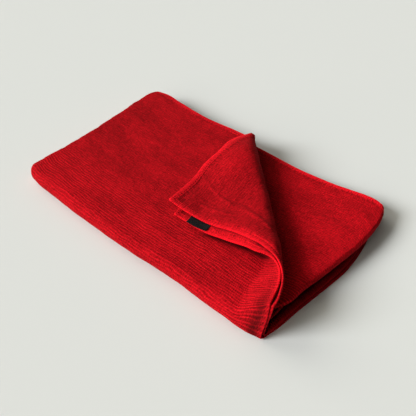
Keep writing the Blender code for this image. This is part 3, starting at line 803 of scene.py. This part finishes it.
class Finish:
    """A material whose nodes are added one at a time."""

    def __init__(self, name):
        self.material = bpy.data.materials.new(name)
        self.material.use_nodes = True
        self.tree = self.material.node_tree
        self.shader = self.tree.nodes["Principled BSDF"]

    def add(self, kind, settings=(), sockets=()):
        node = self.tree.nodes.new("ShaderNode" + kind)
        for name, value in dict(settings).items():
            setattr(node, name, value)
        self.feed(node, sockets)
        return Value(self, node.outputs[0])

    def feed(self, node, sockets):
        for name, value in dict(sockets).items():
            if isinstance(value, Value):
                self.tree.links.new(value.socket, node.inputs[name])
            else:
                node.inputs[name].default_value = value

    def fade(self, distance, full_to, gone_at):
        """One up to the first distance, nothing from the second."""
        settings = {"interpolation_type": "SMOOTHSTEP"}
        ends = {"From Min": full_to, "From Max": gone_at, "To Min": 1.0, "To Max": 0.0}
        return self.add("MapRange", settings, {"Value": distance, **ends})

    def streaks(self, cloth, length, width, place, detail=2.0):
        """Noise drawn out to streaks of this length along the cloth and this width across it."""
        fit = {"Scale": (1.0 / length, 1.0 / width, 1.0), "Location": (place, place * 1.7, 0.0)}
        mapped = self.add("Mapping", {"vector_type": "POINT"}, {"Vector": cloth, **fit})
        settings = {"noise_dimensions": "2D"}
        return self.add("TexNoise", settings, {"Vector": mapped, "Scale": 1.0, "Detail": detail})


def rib_pattern(finish, along, across_cloth, wander):
    """Ribs along the length, clearest near the front fold and on the nose of the turned corner."""
    ribs = (across_cloth * (2.0 * np.pi / RIB_PITCH) + wander * 9.0).math("SINE") * 0.5 + 0.5
    near_front = finish.fade((across_cloth - 0.055).math("ABSOLUTE"), 0.012, 0.058)
    around_nose = finish.fade((across_cloth - 0.040).math("ABSOLUTE"), 0.050, 0.080)
    on_nose = around_nose * (1.0 - finish.fade(along, 0.310, 0.345))
    return ribs * ribs * ribs * (near_front.math("MAXIMUM", on_nose) * (1.0 - FAINT_RIBS) + FAINT_RIBS)


def hem_pattern(finish, distance, run, on_hem, pull):
    """What one hem's slanting pulls, its rim with a painted highlight and its stitches with painted shade
    add to the shade and the height.
    """
    ticks = ((run + distance * 0.7) * (2.0 * np.pi / HEM_TICK)).math("SINE")
    seam = finish.fade((distance - HEM_STITCH).math("ABSOLUTE"), 0.0002, STITCH_WIDTH)
    dashes = (run * (2.0 * np.pi / STITCH_PITCH)).math("SINE")
    rim = finish.fade(distance, 0.0010, 0.0030)
    # Painted highlight on the rim; painted shade in the pressed-in stitch line, darker between its lighter
    # stitches.
    shade = on_hem * ticks * 0.20 + rim * 0.30 + seam * (dashes * 0.45 - 0.25) * pull
    return shade, on_hem * ticks * 0.16 + seam * (dashes * 0.20 - 0.10)


def make_gauze(name, deep, bright):
    """Slubby gauze: ribs along the length, a plain weave, streaks of thicker yarn and stitched hems, with
    painted light and shade on ribs and hems and from its third map.
    """
    finish = Finish(name)
    cloth = finish.add("UVMap", {"uv_map": "cloth"})
    along = finish.add("SeparateXYZ", (), {"Vector": cloth})
    across_cloth = along.output("Y")
    end = finish.add("SeparateXYZ", (), {"Vector": finish.add("UVMap", {"uv_map": "hem"})})
    side = end.output("Y")
    wander = finish.streaks(cloth, 0.0240, 0.0140, 9.4, 1.0)
    ribs = rib_pattern(finish, along, across_cloth, wander)
    warp = (across_cloth * (2.0 * np.pi / YARN_PITCH) + wander * 6.0).math("SINE")
    weft = (along * (2.0 * np.pi / YARN_PITCH) + wander * 7.0).math("SINE")
    # The ribs colour the cloth lighter on their crests and darker in their valleys: their woven pattern, and
    # painted shade of their relief.
    shade = (ribs - 0.2) * 0.75 + weft * 0.09 + warp * 0.06 + FIRST_SHADE
    height = ribs * 0.34 + warp * 0.04 + weft * 0.07
    for row in named_rows(STREAKS, STREAK_COLUMNS):
        streaks = finish.streaks(cloth, row["length"], row["width"], row["place"], row["detail"])
        shade = shade + (streaks - 0.5) * row["shade"]
        height = height + streaks * row["height"]
    end_hem, side_hem = (
        finish.fade(distance, HEM_WIDTH - HEM_FADE, HEM_WIDTH + HEM_FADE) for distance in (end, side)
    )
    # Painted highlight: the hems are coloured lighter all across their width.
    shade = shade + end_hem.math("MAXIMUM", side_hem) * 0.38
    end_band, side_band = (
        finish.fade((distance - SQUARE_INSET).math("ABSOLUTE"), 0.0030, 0.0045) for distance in (end, side)
    )
    shade = shade - end_band * side_band * 0.35
    for distance, run, on_hem, pull in ((end, across_cloth, end_hem, 0.3), (side, along, side_hem, 1.0)):
        hem_shade, hem_height = hem_pattern(finish, distance, run, on_hem, pull)
        shade = shade + hem_shade
        height = height + hem_height
    # Painted shade in the puckers that the stitches pull beside the long hems.
    beside_hem = finish.fade((side - PULL_INSET).math("ABSOLUTE"), 0.0004, 0.0026)
    puckers = (along * (2.0 * np.pi / PULL_PITCH) + wander * 4.0).math("SINE").math("MAXIMUM", 0.0)
    shade = shade - beside_hem * puckers * 0.45
    shade = shade.math("MAXIMUM", 0.0).math("MINIMUM", MOST_SHADE)
    mixed = {"Factor": shade, 6: deep, 7: bright}  # 6 and 7 are the two colours
    colour = finish.add("Mix", {"data_type": "RGBA", "clamp_factor": False}, mixed).output(2)
    # Painted light and shade, from the third map, multiplies the colour.
    painted_light = finish.add("SeparateXYZ", (), {"Vector": finish.add("UVMap", {"uv_map": "painted_light"})})
    colour = finish.add("VectorMath", {"operation": "SCALE"}, {0: colour, "Scale": painted_light})
    colour = finish.add("VectorMath", {"operation": "MINIMUM"}, {0: colour, 1: BRIGHTEST})
    bump = finish.add("Bump", (), {"Height": height, "Distance": 0.001, "Strength": 1.0})
    finish.feed(
        finish.shader,
        {
            "Base Color": colour,
            "Normal": bump,
            "Roughness": 0.9,
            "Specular IOR Level": 0.06,
            "Sheen Weight": 0.22,
            "Sheen Roughness": 0.45,
            "Sheen Tint": (1.0, 0.04, 0.05, 1.0),
        },
    )
    return finish.material


def make_satin(name):
    """Black label satin with fine ribs of yarn across it."""
    finish = Finish(name)
    cloth = finish.add("UVMap", {"uv_map": "cloth"})
    along = finish.add("SeparateXYZ", (), {"Vector": cloth})
    across_cloth = along.output("Y")
    yarn = (across_cloth * (2.0 * np.pi / LABEL_YARN)).math("SINE")
    fleck = finish.streaks(cloth, 0.0008, 0.0030, 1.0)
    mixed = {"Factor": fleck, 6: SATIN_DEEP, 7: SATIN_BRIGHT}
    colour = finish.add("Mix", {"data_type": "RGBA"}, mixed).output(2)
    bump = finish.add("Bump", (), {"Height": yarn * 0.03 + fleck * 0.05, "Distance": 0.001, "Strength": 1.0})
    finish.feed(
        finish.shader, {"Base Color": colour, "Normal": bump, "Roughness": 0.5, "Specular IOR Level": 0.12}
    )
    return finish.material


def make_floor():
    """A plain pale surface that the scarf lies on."""
    finish = Finish("floor_paint")
    finish.feed(finish.shader, {"Base Color": FLOOR_COLOUR, "Roughness": 0.95, "Specular IOR Level": 0.1})
    ground = bmesh.new()
    bmesh.ops.create_grid(ground, x_segments=1, y_segments=1, size=FLOOR_SIZE)
    mesh = bpy.data.meshes.new("floor")
    ground.to_mesh(mesh)
    ground.free()
    mesh.materials.append(finish.material)
    floor = bpy.data.objects.new("floor", mesh)
    bpy.context.scene.collection.objects.link(floor)
    return floor


def aim_light(name, bearing, height, spread, strength, colour):
    """Soft, even light as from a far window. Bearing is in degrees from X, height above the floor."""
    side, up = np.radians(bearing), np.radians(height)
    toward = Vector((np.cos(side) * np.cos(up), np.sin(side) * np.cos(up), np.sin(up)))
    lamp = bpy.data.lights.new(name, "SUN")
    lamp.angle = np.radians(spread)
    lamp.energy = strength
    lamp.color = colour
    light = bpy.data.objects.new(name, lamp)
    light.location = toward
    light.rotation_euler = toward.to_track_quat("Z", "Y").to_euler()
    bpy.context.scene.collection.objects.link(light)


def make_studio():
    """Camera, a broad window-like light from the front left, weaker light around it and a dim room."""
    scene = bpy.context.scene
    camera = bpy.data.cameras.new("camera")
    camera.sensor_width = 36.0
    camera.lens = CAMERA_LENS
    holder = bpy.data.objects.new("camera", camera)
    holder.location = CAMERA_PLACE
    holder.rotation_euler = np.radians(CAMERA_TURN)
    scene.collection.objects.link(holder)
    scene.camera = holder
    for row in named_rows(LIGHTS, LIGHT_COLUMNS):
        aim_light(**row)
    world = bpy.data.worlds.new("room")
    world.use_nodes = True
    room = world.node_tree.nodes["Background"]
    room.inputs["Color"].default_value = (*WARM, 1.0)
    room.inputs["Strength"].default_value = ROOM_STRENGTH
    scene.world = world
    scene.view_settings.view_transform = "Standard"


make_studio()
gauze = make_gauze("gauze", GAUZE_DEEP, GAUZE_BRIGHT)
satin = make_satin("satin")
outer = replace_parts(make_outer_cloth(gauze), "outer_ply")
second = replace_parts(make_second_cloth(gauze), "second_ply")
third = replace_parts(make_third_cloth(gauze), "third_ply")

inside = LEVEL["outer"] - WALL / 2 - 1.5 * GAP
end_places, end_shares = zip(*BLOCK_END)
block_places = np.concatenate([end_places, np.linspace(BLOCK_EVEN_FROM, HIDDEN_FROM, 31)])
block_levels = inside * np.interp(block_places, end_places, end_shares)
hidden = make_block("hidden_cloth", block_places, block_levels, 6, "second", gauze)
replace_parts(hidden, "hidden_layers")
inside = LEVEL["third"] - WALL / 2 - 1.5 * GAP
block_places = np.linspace(HIDDEN_FROM + GAP, FOURTH_TO, 70)
fourth = make_block("fourth_cloth", block_places, np.full(70, inside), 2, "third", gauze)
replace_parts(fourth, "fourth_ply")
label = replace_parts(make_label_patch(satin), "label")

make_floor()
